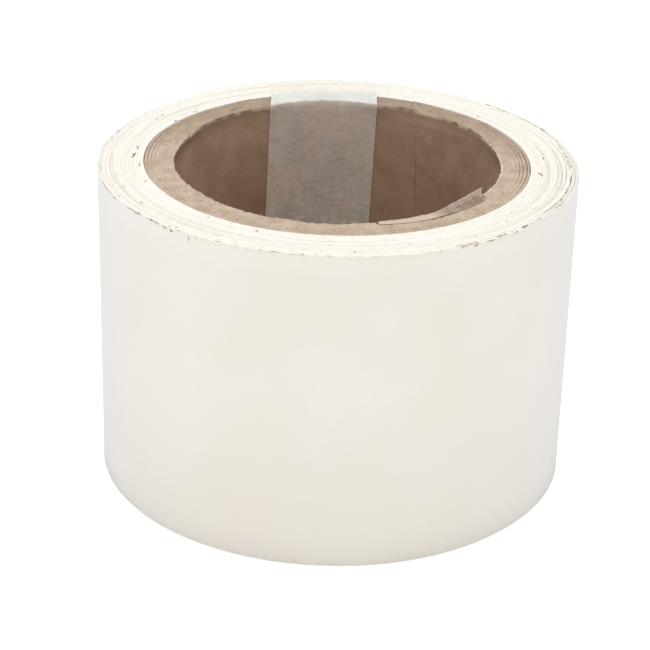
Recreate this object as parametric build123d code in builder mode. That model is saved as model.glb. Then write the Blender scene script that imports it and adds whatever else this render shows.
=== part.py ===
from build123d import *
import math
import os

# A short, wide roll of grip tape on a laminated cardboard core.
# Origin: centre of the bore at the bottom end face. +Z runs up the bore.
# Azimuths are in degrees, counter-clockwise from +X, seen from above.

# ---- driving dimensions, millimetres and degrees ----------------------------
TAPE_WIDTH = 51.0  # height of the roll, and length of the core

# Core
BORE_R = 25.4  # 2 inch bore
PLY_COUNT = 8  # board plies in the core's wall
PLY_T = 0.54  # one ply
GLUE_T = 0.04  # glue line between plies
SEAM_W = 0.35  # butt joint in each ply
SEAM_AZ = 60.0  # azimuth of the liner ply's butt joint
SEAM_STEP = 137.5  # each ply's joint is turned from the last one's

# Wound tape
WRAP_R = 30.08  # inner radius of the first turn
WRAP_COUNT = 12  # turns
TAPE_T = 0.36  # grip tape with its adhesive
LINER_T = 0.12  # release liner
LAYER_GAP = 0.06  # clearance between any two layers
RAMP_AZ0 = 155.0  # every turn climbs over the one below between these azimuths
RAMP_AZ1 = 195.0
RAMP_STEPS = 8  # spline spans in a climb
START_AZ = 196.0  # the tape's inner end, just past the climb
# The two outermost turns stand off the roll on one side.
# turn: (first azimuth, last azimuth, height of the stand-off)
SLACK_TURNS = {
    WRAP_COUNT - 1: (-50.0, 62.0, 0.36),
    WRAP_COUNT - 2: (-34.0, 40.0, 0.30),
}
SLACK_STEPS = 16  # spline spans in a stand-off
ROOT_AZ = 110.5  # where the winding stops and the tape's free end starts
TAIL_GAP_AZ = 0.2  # angle left between the winding and the free end
END_AZ = 130.0  # the tape's outer end

# Clear strip
STRIP_T = 0.08
STRIP_OFF = 0.05  # clearance between the strip and what it lies on
STRIP_X0 = -11.2  # the strip's two edges
STRIP_X1 = 6.4
STRIP_TRIM_Y0 = 11.0  # the trimming block spans the wall on the +Y side
STRIP_TRIM_Y1 = 51.0
STRIP_IN_Z = 17.0  # lower end of the strip's inner leg
STRIP_TAB_Z = 37.0  # where the strip's pull tab starts
STRIP_OUT_Z = 28.0  # lower end of the pull tab
TAB_GAP = 0.1  # clearance between the strip and its tab

# Torn flap, joined at its clockwise end (root) and free at the other (tip)
FLAP_AZ = -53.0  # middle azimuth of the flap
FLAP_HALF = 10.1  # half its length along the wall
FLAP_T = 0.40  # torn, so thinner than a whole ply
FLAP_OFF = 0.05  # its inner face stands this far outside the bore
FLAP_ROOT_DEPTH = 1.5  # lower edge below the rim
FLAP_TIP_DEPTH = 0.75
FLAP_RISE = 1.15  # how far its tip stands above the rim
# Upper edge from tip to root: (fraction of FLAP_HALF, fraction of FLAP_RISE)
FLAP_TOP_EDGE = [
    (1, 1), (0.60, 0.95), (0.25, 0.60), (-0.10, 0.25), (-0.45, 0.05), (-1, 0),
]

# Notch in the liner ply that the flap came out of
NOTCH_ROOT_DEPTH = 1.65
NOTCH_TIP_DEPTH = 0.95
NOTCH_ROOT_GAP = 0.1  # how far the notch runs past the flap's two ends
NOTCH_TIP_GAP = 0.2

# ---- derived ----------------------------------------------------------------
PITCH = TAPE_T + LINER_T + 2 * LAYER_GAP
LINER_OFF = TAPE_T + LAYER_GAP  # from a turn's inner face to its liner
LAST_TURN_R = WRAP_R + (WRAP_COUNT - 1) * PITCH
ROLL_R = LAST_TURN_R + LINER_OFF + LINER_T
STRIP_OUT_R = ROLL_R + STRIP_OFF + STRIP_T
STRIP_TRIM_CENTRE = ((STRIP_X0 + STRIP_X1) / 2, (STRIP_TRIM_Y0 + STRIP_TRIM_Y1) / 2)
STRIP_TRIM_SIZE = (STRIP_X1 - STRIP_X0, STRIP_TRIM_Y1 - STRIP_TRIM_Y0)
STRIP_TRIM_H = TAPE_WIDTH + 10  # clears the top of the strip
FLAP_CUT_REACH = BORE_R + 10  # from the axis out past the liner ply


def polar(radius, azimuth):
    angle = math.radians(azimuth)
    return (radius * math.cos(angle), radius * math.sin(angle))


def tangent(azimuth):
    angle = math.radians(azimuth)
    return (-math.sin(angle), math.cos(angle))


# Faces outwards at the flap: x runs along the wall from root to tip, y runs up.
FLAP_PLANE = Plane(
    origin=(0, 0, 0),
    x_dir=(*tangent(FLAP_AZ), 0),
    z_dir=(*polar(1, FLAP_AZ), 0),
)


def save(part, name):
    part.label = name
    export_step(part, f"parts/{name}.step")


# ---- core -------------------------------------------------------------------
def core_ply(index, name):
    """A rolled sheet with a butt joint; the innermost one is torn at its top edge."""
    inner_r = BORE_R + index * (PLY_T + GLUE_T)
    outer_r = inner_r + PLY_T
    seam = SEAM_AZ + index * SEAM_STEP
    with BuildPart() as ply:
        with BuildSketch(Plane.XY):
            Circle(outer_r)
            Circle(inner_r, mode=Mode.SUBTRACT)
            with PolarLocations((inner_r + outer_r) / 2, 1, start_angle=seam):
                # long enough to cut right through the ply
                Rectangle(4 * PLY_T, SEAM_W, mode=Mode.SUBTRACT)
        extrude(amount=TAPE_WIDTH)
        if index == 0:
            root_x = -FLAP_HALF - NOTCH_ROOT_GAP
            tip_x = FLAP_HALF + NOTCH_TIP_GAP
            with BuildSketch(FLAP_PLANE):
                with BuildLine():
                    Polyline(
                        (root_x, TAPE_WIDTH - NOTCH_ROOT_DEPTH),
                        (tip_x, TAPE_WIDTH - NOTCH_TIP_DEPTH),
                        (tip_x, TAPE_WIDTH + 1),
                        (root_x, TAPE_WIDTH + 1),
                        close=True,
                    )
                make_face()
            extrude(amount=FLAP_CUT_REACH, mode=Mode.SUBTRACT)
    save(ply.part, name)


def torn_liner_flap():
    """A sliver of the liner ply's edge, rising towards its free end."""
    inner_r = BORE_R + FLAP_OFF
    with BuildPart() as flap:
        # a ring taller than the flap both ways, cut to the flap's outline
        with BuildSketch(Plane.XY.offset(TAPE_WIDTH - 3)):
            Circle(inner_r + FLAP_T)
            Circle(inner_r, mode=Mode.SUBTRACT)
        extrude(amount=8)
        with BuildSketch(FLAP_PLANE):
            with BuildLine():
                Polyline(
                    (-FLAP_HALF, TAPE_WIDTH - FLAP_ROOT_DEPTH),
                    (FLAP_HALF, TAPE_WIDTH - FLAP_TIP_DEPTH),
                    *[
                        (along * FLAP_HALF, TAPE_WIDTH + up * FLAP_RISE)
                        for along, up in FLAP_TOP_EDGE
                    ],
                    close=True,
                )
            make_face()
        extrude(amount=FLAP_CUT_REACH, mode=Mode.INTERSECT)
    save(flap.part, "torn_liner_flap")


# ---- tape and release liner -------------------------------------------------
def smooth_curve(radius_at, az0, az1, steps):
    """A spline through radius_at(0 to 1) between two azimuths, tangential at both ends."""
    points = [
        polar(radius_at(i / steps), az0 + (az1 - az0) * i / steps)
        for i in range(steps + 1)
    ]
    return Spline(*points, tangents=(tangent(az0), tangent(az1)))


def wound_edge(offset):
    """One edge of the wound tape, from its start on the core to the free end's root.

    Each turn is round, then climbs by one pitch over the start of the turn below.
    """
    for turn in range(WRAP_COUNT):
        radius = WRAP_R + turn * PITCH + offset
        first = START_AZ if turn == 0 else RAMP_AZ1
        last = ROOT_AZ if turn == WRAP_COUNT - 1 else RAMP_AZ0
        if turn in SLACK_TURNS:
            az0, az1, rise = SLACK_TURNS[turn]
            CenterArc((0, 0), radius, first, az0 + 360 - first)
            smooth_curve(
                lambda s: radius + rise * math.sin(math.pi * s) ** 2, az0, az1, SLACK_STEPS
            )
            CenterArc((0, 0), radius, az1, last - az1)
        else:
            CenterArc((0, 0), radius, first, last + 360 - first)
        if turn < WRAP_COUNT - 1:
            smooth_curve(
                lambda s: radius + PITCH * s * s * (3 - 2 * s), RAMP_AZ0, RAMP_AZ1, RAMP_STEPS
            )


def end_line(inner_r, thickness, azimuth):
    """The radial line that closes a layer at one end."""
    Line(polar(inner_r, azimuth), polar(inner_r + thickness, azimuth))


def winding(name, offset, thickness):
    """All turns of one layer, up to the free end's root."""
    with BuildPart() as layer:
        with BuildSketch(Plane.XY):
            with BuildLine():
                wound_edge(offset)
                wound_edge(offset + thickness)
                end_line(WRAP_R + offset, thickness, START_AZ)
                end_line(LAST_TURN_R + offset, thickness, ROOT_AZ)
            make_face()
        extrude(amount=TAPE_WIDTH)
    save(layer.part, name)


def tail(name, offset, thickness):
    """The free end of one layer, past the clear strip."""
    inner_r = LAST_TURN_R + offset
    start = ROOT_AZ + TAIL_GAP_AZ
    with BuildPart() as layer:
        with BuildSketch(Plane.XY):
            with BuildLine():
                CenterArc((0, 0), inner_r, start, END_AZ - start)
                CenterArc((0, 0), inner_r + thickness, start, END_AZ - start)
                end_line(inner_r, thickness, start)
                end_line(inner_r, thickness, END_AZ)
            make_face()
        extrude(amount=TAPE_WIDTH)
    save(layer.part, name)


# ---- clear strip ------------------------------------------------------------
def clear_strip():
    """Inner leg, bridge over the top end face and outer leg."""
    inner_r = BORE_R - STRIP_OFF - STRIP_T
    top_z = TAPE_WIDTH + STRIP_OFF + STRIP_T
    outer_leg_z = STRIP_TAB_Z + TAB_GAP
    with BuildPart() as strip:
        with BuildSketch(Plane.XZ):
            with BuildLine():
                Polyline(
                    (inner_r, STRIP_IN_Z),
                    (inner_r + STRIP_T, STRIP_IN_Z),
                    (inner_r + STRIP_T, top_z - STRIP_T),
                    (STRIP_OUT_R - STRIP_T, top_z - STRIP_T),
                    (STRIP_OUT_R - STRIP_T, outer_leg_z),
                    (STRIP_OUT_R, outer_leg_z),
                    (STRIP_OUT_R, top_z),
                    (inner_r, top_z),
                    close=True,
                )
            make_face()
        revolve(axis=Axis.Z)
        with BuildSketch(Plane.XY):
            with Locations(STRIP_TRIM_CENTRE):
                Rectangle(*STRIP_TRIM_SIZE)
        extrude(amount=STRIP_TRIM_H, mode=Mode.INTERSECT)
    save(strip.part, "clear_strip")


def clear_strip_pull_tab():
    """The strip's lower outer end, below the outer leg."""
    with BuildPart() as tab:
        with BuildSketch(Plane.XY.offset(STRIP_OUT_Z)):
            Circle(STRIP_OUT_R)
            Circle(STRIP_OUT_R - STRIP_T, mode=Mode.SUBTRACT)
        extrude(amount=STRIP_TAB_Z - STRIP_OUT_Z)
        with BuildSketch(Plane.XY):
            with Locations(STRIP_TRIM_CENTRE):
                Rectangle(*STRIP_TRIM_SIZE)
        extrude(amount=STRIP_TRIM_H, mode=Mode.INTERSECT)
    save(tab.part, "clear_strip_pull_tab")


# ---- build ------------------------------------------------------------------
os.makedirs("parts", exist_ok=True)

# from the bore outwards
ply_names = ["core_liner", *[f"core_ply_{i}" for i in range(2, PLY_COUNT)], "core_cover_ply"]
for index, name in enumerate(ply_names):
    core_ply(index, name)
torn_liner_flap()

winding("grip_tape_winding", 0, TAPE_T)
winding("release_liner_winding", LINER_OFF, LINER_T)
tail("grip_tape_tail", 0, TAPE_T)
tail("release_liner_tail", LINER_OFF, LINER_T)

clear_strip()
clear_strip_pull_tab()
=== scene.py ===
"""A roll of grip tape wound with its release liner on a laminated kraft-board core.

The roll stands on the floor round the Z axis, bottom at z = 0 and end face at z = TOP.
Sizes are in mm and turned into metres when a mesh is built. Azimuths are in degrees from +X,
counterclockwise seen from above; -Y is the front, where the camera is. The free ends of tape
and liner and the clear strip are at the rear, the torn sliver of the core at the front right.
"""
import math

import bmesh
import bpy
import numpy as np
from mathutils import Matrix, Vector


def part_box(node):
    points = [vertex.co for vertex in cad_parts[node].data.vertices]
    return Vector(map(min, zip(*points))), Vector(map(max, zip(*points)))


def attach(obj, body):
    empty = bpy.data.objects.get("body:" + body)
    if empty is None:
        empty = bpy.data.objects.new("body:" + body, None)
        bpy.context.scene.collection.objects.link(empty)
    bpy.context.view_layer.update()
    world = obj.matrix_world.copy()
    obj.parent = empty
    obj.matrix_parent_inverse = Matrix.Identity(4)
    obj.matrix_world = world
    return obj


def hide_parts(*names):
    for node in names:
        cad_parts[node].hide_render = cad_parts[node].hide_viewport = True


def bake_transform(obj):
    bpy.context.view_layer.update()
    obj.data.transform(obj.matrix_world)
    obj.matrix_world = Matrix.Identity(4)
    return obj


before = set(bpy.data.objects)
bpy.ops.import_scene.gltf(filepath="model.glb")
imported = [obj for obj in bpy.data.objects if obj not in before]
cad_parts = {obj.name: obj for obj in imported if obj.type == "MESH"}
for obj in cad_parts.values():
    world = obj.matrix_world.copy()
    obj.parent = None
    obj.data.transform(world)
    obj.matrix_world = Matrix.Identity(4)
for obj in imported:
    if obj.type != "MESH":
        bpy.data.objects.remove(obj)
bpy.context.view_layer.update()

# ---------------------------------------------------------------- driving sizes
MM = 0.001
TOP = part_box("core_cover_ply")[1].z / MM
PLIES = ["core_liner"] + [f"core_ply_{i}" for i in range(2, 8)] + ["core_cover_ply"]
PLY_STEP = 0.54  # thickness of one ply

BORE_R = 25.4
WRAP_R = 30.08  # inner radius of the winding
TURNS = 12
PITCH = 0.60
RAMP_START, RAMP_END = 155.0, 195.0  # each turn climbs one pitch between these azimuths
ROUND_START = 196.0  # the winding's inner end lies on the core up to here
INNER_END_TO = ROUND_START + 4  # the squeezed inner end reaches full thickness here
PHI_START = 158.0  # unwound angle of the winding's inner end
ROOT_AZ, END_AZ = 110.5, 130.0  # the free ends of tape and liner run between these
PHI_END = 360.0 * TURNS + ROOT_AZ
LAST_CLIMB = 360.0 * (TURNS - 1) + RAMP_START
ROLL_R = WRAP_R + (TURNS - 1) * PITCH + 0.54

FLAP_AZ, FLAP_HALF = -53.0, 10.1  # torn part of the core's liner: middle, half width in mm

STRIP_X = (-11.2, 6.4)
STRIP_BOTTOM_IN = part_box("clear_strip")[0].z / MM
STRIP_BOTTOM_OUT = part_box("clear_strip_pull_tab")[0].z / MM
FILM_R = ROLL_R + 0.14  # the strip's outer leg
FILM_THICK = 0.06


def outer_radius(node):
    low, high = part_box(node)
    return max(abs(low.x), abs(low.y), abs(high.x), abs(high.y)) / MM


PLY_OUT = [round(outer_radius(name), 2) for name in PLIES]


# ---------------------------------------------------------------- numbers and noise
def track(seed, count, cutoff, falloff=0.0):
    """Smooth periodic noise of unit spread; cutoff is in cycles over the count samples."""
    rng = np.random.default_rng(seed)
    k = np.arange(count // 2 + 1)
    amp = np.exp(-((k / cutoff) ** 2)) * (k + 1.0) ** (-falloff)
    amp[0] = 0
    wave = np.fft.irfft(amp * np.exp(2j * np.pi * rng.random(len(k))), count)
    return wave / wave.std()


def sheet_noise(seed, u, v, wavelength, waves=24, stretch=(1.0, 1.0)):
    """Smooth 2-D noise at points (u, v), as a sum of plane waves of unit spread."""
    rng = np.random.default_rng(seed)
    total = np.zeros(np.broadcast(u, v).shape)
    for _ in range(waves):
        angle = rng.random() * 2 * np.pi
        length = wavelength * (0.6 + 1.2 * rng.random())
        across = u * np.cos(angle) / stretch[0] + v * np.sin(angle) / stretch[1]
        total = total + np.cos(2 * np.pi * across / length + rng.random() * 2 * np.pi)
    return total / math.sqrt(waves / 2)


def smooth01(x):
    x = np.clip(x, 0, 1)
    return x * x * (3 - 2 * x)


def ridge(x, centre, width):
    """A bell curve of height 1."""
    return np.exp(-(((x - centre) / width) ** 2))


def az_from(az, centre):
    """Signed degrees from centre to az, within half a turn."""
    return (az - centre + 180) % 360 - 180


def az_bump(az, centre, half):
    """1 at an azimuth, falling smoothly to 0 this many degrees away."""
    return np.cos(np.pi / 2 * np.clip(np.abs(az_from(az, centre)) / half, 0, 1)) ** 2


def point(r, az, z):
    return (r * math.cos(math.radians(az)), r * math.sin(math.radians(az)), z)


def cylinder_points(r, az, z):
    """Points of arrays of radius, azimuth and height, one per row."""
    a = np.radians(az)
    return np.stack([r * np.cos(a), r * np.sin(a), z], -1).reshape(-1, 3)


# ---------------------------------------------------------------- meshes
def build(name, verts, quads, tris=(), mats=(), index=None, sharp=None, attrs=None):
    """A mesh object from points in mm, faces turned outward; edges above sharp degrees are sharp."""
    verts = np.asarray(verts, float).reshape(-1, 3) * MM
    quads = np.asarray(quads, np.int64).reshape(-1, 4)
    tris = np.asarray(tris, np.int64).reshape(-1, 3)
    me = bpy.data.meshes.new(name)
    me.vertices.add(len(verts))
    me.vertices.foreach_set("co", verts.astype(np.float32).ravel())
    loops = np.concatenate([quads.ravel(), tris.ravel()])
    me.loops.add(len(loops))
    me.loops.foreach_set("vertex_index", loops.astype(np.int32))
    me.polygons.add(len(quads) + len(tris))
    starts = np.concatenate(
        [np.arange(len(quads)) * 4, len(quads) * 4 + np.arange(len(tris)) * 3]
    )
    me.polygons.foreach_set("loop_start", starts.astype(np.int32))
    if index is not None:
        me.polygons.foreach_set("material_index", np.asarray(index, np.int32))
    me.update(calc_edges=True)
    me.validate()
    for mat in mats:
        me.materials.append(mat)
    me.shade_smooth()
    if sharp is not None:
        me.set_sharp_from_angle(angle=math.radians(sharp))
    for key, values in (attrs or {}).items():
        attribute = me.attributes.new(key, "FLOAT", "POINT")
        attribute.data.foreach_set("value", np.asarray(values, np.float32).ravel())
    ob = bpy.data.objects.new(name, me)
    bpy.context.scene.collection.objects.link(ob)

    bm = bmesh.new()
    bm.from_mesh(me)
    bmesh.ops.recalc_face_normals(bm, faces=bm.faces)
    bm.to_mesh(me)
    bm.free()
    me.update()
    return ob


def grid_quads(n, m, wrap=False, base=0, flip=False):
    """Quads of an n by m grid of points stored row by row; wrap joins each row's ends."""
    i, j = np.meshgrid(np.arange(n - 1), np.arange(m if wrap else m - 1), indexing="ij")
    j2 = (j + 1) % m
    quads = np.stack([i * m + j, (i + 1) * m + j, (i + 1) * m + j2, i * m + j2], -1)
    quads = quads.reshape(-1, 4)
    if flip:
        quads = quads[:, ::-1]
    return quads + base


def cap_fan(ring, flip=False):
    """Triangles closing a ring of point numbers from its own first point."""
    fan = [(ring[0], ring[i], ring[i + 1]) for i in range(1, len(ring) - 1)]
    return [t[::-1] for t in fan] if flip else fan


def swept_solid(r, az, z):
    """Points and faces of a closed section swept round the axis, one row per station."""
    n, m = r.shape
    tris = cap_fan(range(m)) + cap_fan(range((n - 1) * m, n * m), flip=True)
    return cylinder_points(r, az, z), grid_quads(n, m, wrap=True), tris


def sheet_faces(n, m):
    """Quads of a thin sheet: an n by m grid, the same grid on its other side, and the rim."""
    k = n * m
    idx = np.arange(k).reshape(n, m)
    rim = np.concatenate([idx[:, 0], idx[-1, 1:], idx[::-1, -1][1:], idx[0, ::-1][1:-1]])
    nxt = np.roll(rim, -1)
    sides = np.stack([rim, nxt, nxt + k, rim + k], 1)
    return np.concatenate([grid_quads(n, m), grid_quads(n, m, base=k, flip=True), sides])


def upright(radius, bottom, top, fractions):
    """Section points (radius, height) at fractions of the way from bottom to top."""
    return [(radius, bottom + (top - bottom) * f) for f in fractions]


def stack_section(columns, like):
    """Radius and height arrays (stations, section points) from (radius, height) columns."""
    return [np.stack([column[k] + 0 * like for column in columns], 1) for k in (0, 1)]


class Tubes:
    """Many small closed tubes gathered into one mesh."""

    def __init__(self, sides):
        self.sides = sides
        self.verts, self.quads, self.tris = [], [], []

    def add(self, points):
        """Adds a tube from its points, ring after ring."""
        sides, base = self.sides, len(self.verts)
        last = base + len(points) - sides
        self.verts += points
        for ring in range(base, last, sides):
            for k in range(sides):
                k2 = (k + 1) % sides
                self.quads.append((ring + k, ring + k2, ring + sides + k2, ring + sides + k))
        self.tris += cap_fan(range(base, base + sides), flip=True)
        self.tris += cap_fan(range(last, last + sides))


# ---------------------------------------------------------------- materials
def srgb(*rgb):
    """Linear colour from 0-255 values."""
    scaled = [c / 255 for c in rgb]
    return tuple(c / 12.92 if c <= 0.04045 else ((c + 0.055) / 1.055) ** 2.4 for c in scaled)


class Material:
    """A short way to write node materials."""

    def __init__(self, name):
        self.material = bpy.data.materials.new(name)
        self.material.use_nodes = True
        self.tree = self.material.node_tree
        self.tree.nodes.clear()
        self.out = self.node("ShaderNodeOutputMaterial")
        self.bsdf = self.node("ShaderNodeBsdfPrincipled")
        self.put(self.out.inputs[0], self.bsdf.outputs[0])

    def node(self, kind, **props):
        n = self.tree.nodes.new(kind)
        for key, value in props.items():
            setattr(n, key, value)
        return n

    def put(self, socket, value):
        """Links a socket, or sets a plain value; None leaves the default."""
        if isinstance(value, bpy.types.NodeSocket):
            self.tree.links.new(value, socket)
        elif value is not None:
            socket.default_value = value

    def set(self, inputs):
        """Fills the surface's inputs and gives back the material."""
        for name, value in inputs.items():
            self.put(self.bsdf.inputs[name], value)
        return self.material

    def coords(self, scale=(1000, 1000, 1000)):
        """Object coordinates; the usual scale makes them mm."""
        source = self.node("ShaderNodeTexCoord")
        mapping = self.node("ShaderNodeMapping")
        self.put(mapping.inputs["Vector"], source.outputs["Object"])
        mapping.inputs["Scale"].default_value = scale
        return mapping.outputs[0]

    def xyz(self):
        source = self.node("ShaderNodeTexCoord")
        split = self.node("ShaderNodeSeparateXYZ")
        self.put(split.inputs[0], source.outputs["Object"])
        return tuple(split.outputs)

    def radius(self, xyz):
        x, y, _ = xyz
        return self.times(self.math("SQRT", self.plus(self.times(x, x), self.times(y, y))), 1000)

    def azimuth(self, xyz):
        return self.times(self.math("ARCTAN2", xyz[1], xyz[0]), 180 / math.pi)

    def height(self, xyz):
        return self.times(xyz[2], 1000)

    def math(self, op, a, b=None, clamp=False):
        n = self.node("ShaderNodeMath", operation=op, use_clamp=clamp)
        self.put(n.inputs[0], a)
        self.put(n.inputs[1], b)
        return n.outputs[0]

    def times(self, first, *others):
        for other in others:
            first = self.math("MULTIPLY", first, other)
        return first

    def plus(self, a, b, clamp=False):
        return self.math("ADD", a, b, clamp)

    def sine(self, degrees):
        return self.math("SINE", self.times(degrees, math.pi / 180))

    def noise(self, vec, scale, detail=3, rough=0.5, distortion=0.0):
        n = self.node("ShaderNodeTexNoise")
        self.put(n.inputs["Vector"], vec)
        n.inputs["Scale"].default_value = scale
        n.inputs["Detail"].default_value = detail
        n.inputs["Roughness"].default_value = rough
        n.inputs["Distortion"].default_value = distortion
        return n.outputs["Fac"]

    def ramp(self, x, span, to=(0.0, 1.0)):
        """Smooth step of x from one range to another."""
        n = self.node("ShaderNodeMapRange")
        n.interpolation_type = "SMOOTHSTEP"
        self.put(n.inputs["Value"], x)
        for key, value in zip(("From Min", "From Max", "To Min", "To Max"), (*span, *to)):
            self.put(n.inputs[key], value)
        return n.outputs["Result"]

    def patches(self, vec, band, to=(0.0, 1.0), **noise):
        """Noise with the band of its values stretched to a range."""
        return self.ramp(self.noise(vec, **noise), band, to)

    def mix(self, under, over, amount, strength=None):
        """Lays one colour over another."""
        if strength is not None:
            amount = self.times(amount, strength)
        n = self.node("ShaderNodeMix", data_type="RGBA", blend_type="MIX")
        self.put(n.inputs["Factor"], amount)
        for key, colour in (("A", under), ("B", over)):
            is_socket = isinstance(colour, bpy.types.NodeSocket)
            self.put(n.inputs[key], colour if is_socket else (*colour, 1.0))
        return n.outputs["Result"]

    def attr(self, name):
        return self.node("ShaderNodeAttribute", attribute_name=name).outputs["Fac"]

    def bump(self, vec, distance, strength, on=None, **noise):
        """A bump from noise, on top of another bump; distance is in metres."""
        height = self.noise(vec, **noise)
        n = self.node("ShaderNodeBump")
        n.inputs["Strength"].default_value = strength
        n.inputs["Distance"].default_value = distance
        self.put(n.inputs["Height"], height)
        self.put(n.inputs["Normal"], on)
        return n.outputs[0]


def satin_liner():
    """Silicone-coated paper: smooth, satin, off-white, a little yellower at its cut edges."""
    m = Material("release_liner_satin")
    p = m.coords()
    z = m.height(m.xyz())
    cloud = m.patches(p, band=(0.3, 0.7), scale=0.055, detail=3, rough=0.55)
    base = m.mix(srgb(238, 232, 223), srgb(241, 236, 228), cloud)
    tall = m.coords(scale=(900, 900, 2600))
    fibre = m.patches(tall, band=(0.25, 0.75), to=(0.0, 0.14), scale=1.1, detail=4, rough=0.6)
    base = m.mix(base, srgb(231, 225, 215), fibre)
    low = m.ramp(z, span=(0.0, 1.6), to=(1.0, 0.0))
    edge = m.math("MAXIMUM", low, m.ramp(z, span=(TOP - 1.3, TOP)))
    broken = m.patches(p, band=(0.35, 0.7), to=(0.25, 1.0), scale=0.5, detail=4, rough=0.6)
    base = m.mix(base, srgb(226, 217, 196), m.times(edge, broken), strength=0.45)
    # a few grey rub marks
    rub = m.patches(m.coords(scale=(300, 300, 1500)), band=(0.66, 0.80),
                    scale=0.35, detail=5, rough=0.7, distortion=0.6)
    base = m.mix(base, srgb(190, 183, 170), rub, strength=0.10)
    # painted shade: darker toward the floor; painted sheen: lighter and cooler at a grazing view
    base = m.mix(base, srgb(196, 188, 174), m.ramp(z, span=(1.0, 30.0), to=(0.16, 0.0)))
    facing = m.node("ShaderNodeLayerWeight")
    facing.inputs["Blend"].default_value = 0.5
    graze_sheen = m.ramp(facing.outputs["Facing"], span=(0.25, 0.95), to=(0.0, 0.8))
    base = m.mix(base, srgb(233, 231, 228), graze_sheen)
    fine = m.bump(p, distance=0.00002, strength=0.35, scale=5.5, detail=3, rough=0.6)
    return m.set({
        "Base Color": base,
        "Roughness": m.patches(p, band=(0.3, 0.7), to=(0.36, 0.46), scale=0.9, rough=0.6),
        "IOR": 1.45,
        "Specular IOR Level": 0.45,
        "Normal": m.bump(p, distance=0.00012, strength=0.25, on=fine, scale=0.16, detail=2),
    })


def tape_cream():
    """Cut edges of the wound tape: cream, a little waxy, with grime caught in the grooves."""
    m = Material("grip_tape_cream")
    p = m.coords()
    xyz = m.xyz()
    r, az, z = m.radius(xyz), m.azimuth(xyz), m.height(xyz)
    tone = m.ramp(m.attr("tone"), span=(0.0, 1.0))
    base = m.mix(srgb(233, 228, 217), srgb(241, 238, 229), tone)
    pink = m.patches(p, band=(0.50, 0.74), to=(0.0, 0.45), scale=0.42, detail=4, rough=0.6)
    base = m.mix(base, srgb(243, 228, 217), pink)
    mottle = m.patches(p, band=(0.55, 0.75), to=(0.0, 0.30), scale=2.6, detail=4, rough=0.7)
    base = m.mix(base, srgb(230, 224, 212), mottle)
    smudge = m.patches(p, band=(0.50, 0.72), scale=0.85, detail=5, rough=0.72, distortion=0.4)
    base = m.mix(base, srgb(214, 206, 198), smudge, strength=0.34)
    # painted shade in the grooves between turns, patchy, fainter toward the rear
    shade_patches = m.patches(p, band=(0.30, 0.62), to=(0.35, 1.0), scale=0.55, rough=0.6)
    rear = m.ramp(m.times(r, m.sine(az)), span=(5.0, 28.0), to=(1.0, 0.4))
    groove_shade = m.times(m.attr("groove_shade"), shade_patches, rear)
    base = m.mix(base, srgb(204, 196, 184), groove_shade, strength=0.50)
    # painted shade: the tops of the sunk slack turns greyer, like the shaded wall
    base = m.mix(base, srgb(224, 221, 212), m.attr("sunk_shade"), strength=0.85)
    # brown stain near the outer edge at the front right: its middle, and scales along and across
    along = m.times(m.math("SUBTRACT", az, -59.0), 0.28)
    across = m.times(m.math("SUBTRACT", r, 36.95), 2.4)
    away = m.math("SQRT", m.plus(m.times(along, along), m.times(across, across)))
    ragged = m.math("SUBTRACT", m.noise(p, scale=1.6, detail=4, rough=0.7), 0.5)
    away = m.plus(away, m.times(ragged, 2.2))
    stain = m.times(m.ramp(away, span=(0.25, 1.15), to=(1.0, 0.0)),
                    m.ramp(z, span=(TOP - 2.5, TOP - 1.0)))
    base = m.mix(base, srgb(178, 128, 84), stain, strength=0.75)
    # fine dust: a dot in some of the cells, more of it near the outer edge
    cell = m.node("ShaderNodeTexVoronoi", feature="F1")
    m.put(cell.inputs["Vector"], p)
    cell.inputs["Scale"].default_value = 1.15
    keep = m.ramp(cell.outputs["Color"], span=(0.80, 0.82))
    dot = m.ramp(cell.outputs["Distance"], span=(0.07, 0.15), to=(1.0, 0.0))
    dust = m.times(dot, keep, m.ramp(r, span=(33.5, 36.9), to=(0.25, 0.9)))
    base = m.mix(base, srgb(120, 104, 86), dust)
    coarse = m.bump(p, distance=0.00008, strength=0.5, scale=1.3, rough=0.6)
    return m.set({
        "Base Color": base,
        "Roughness": m.patches(p, band=(0.3, 0.7), to=(0.42, 0.60), scale=1.7, rough=0.6),
        "IOR": 1.45,
        "Subsurface Weight": 0.06,
        "Subsurface Radius": (1.0, 0.8, 0.5),
        "Subsurface Scale": 0.0006,
        "Normal": m.bump(p, distance=0.00003, strength=0.5, on=coarse, scale=4.5, rough=0.65),
    })


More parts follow.
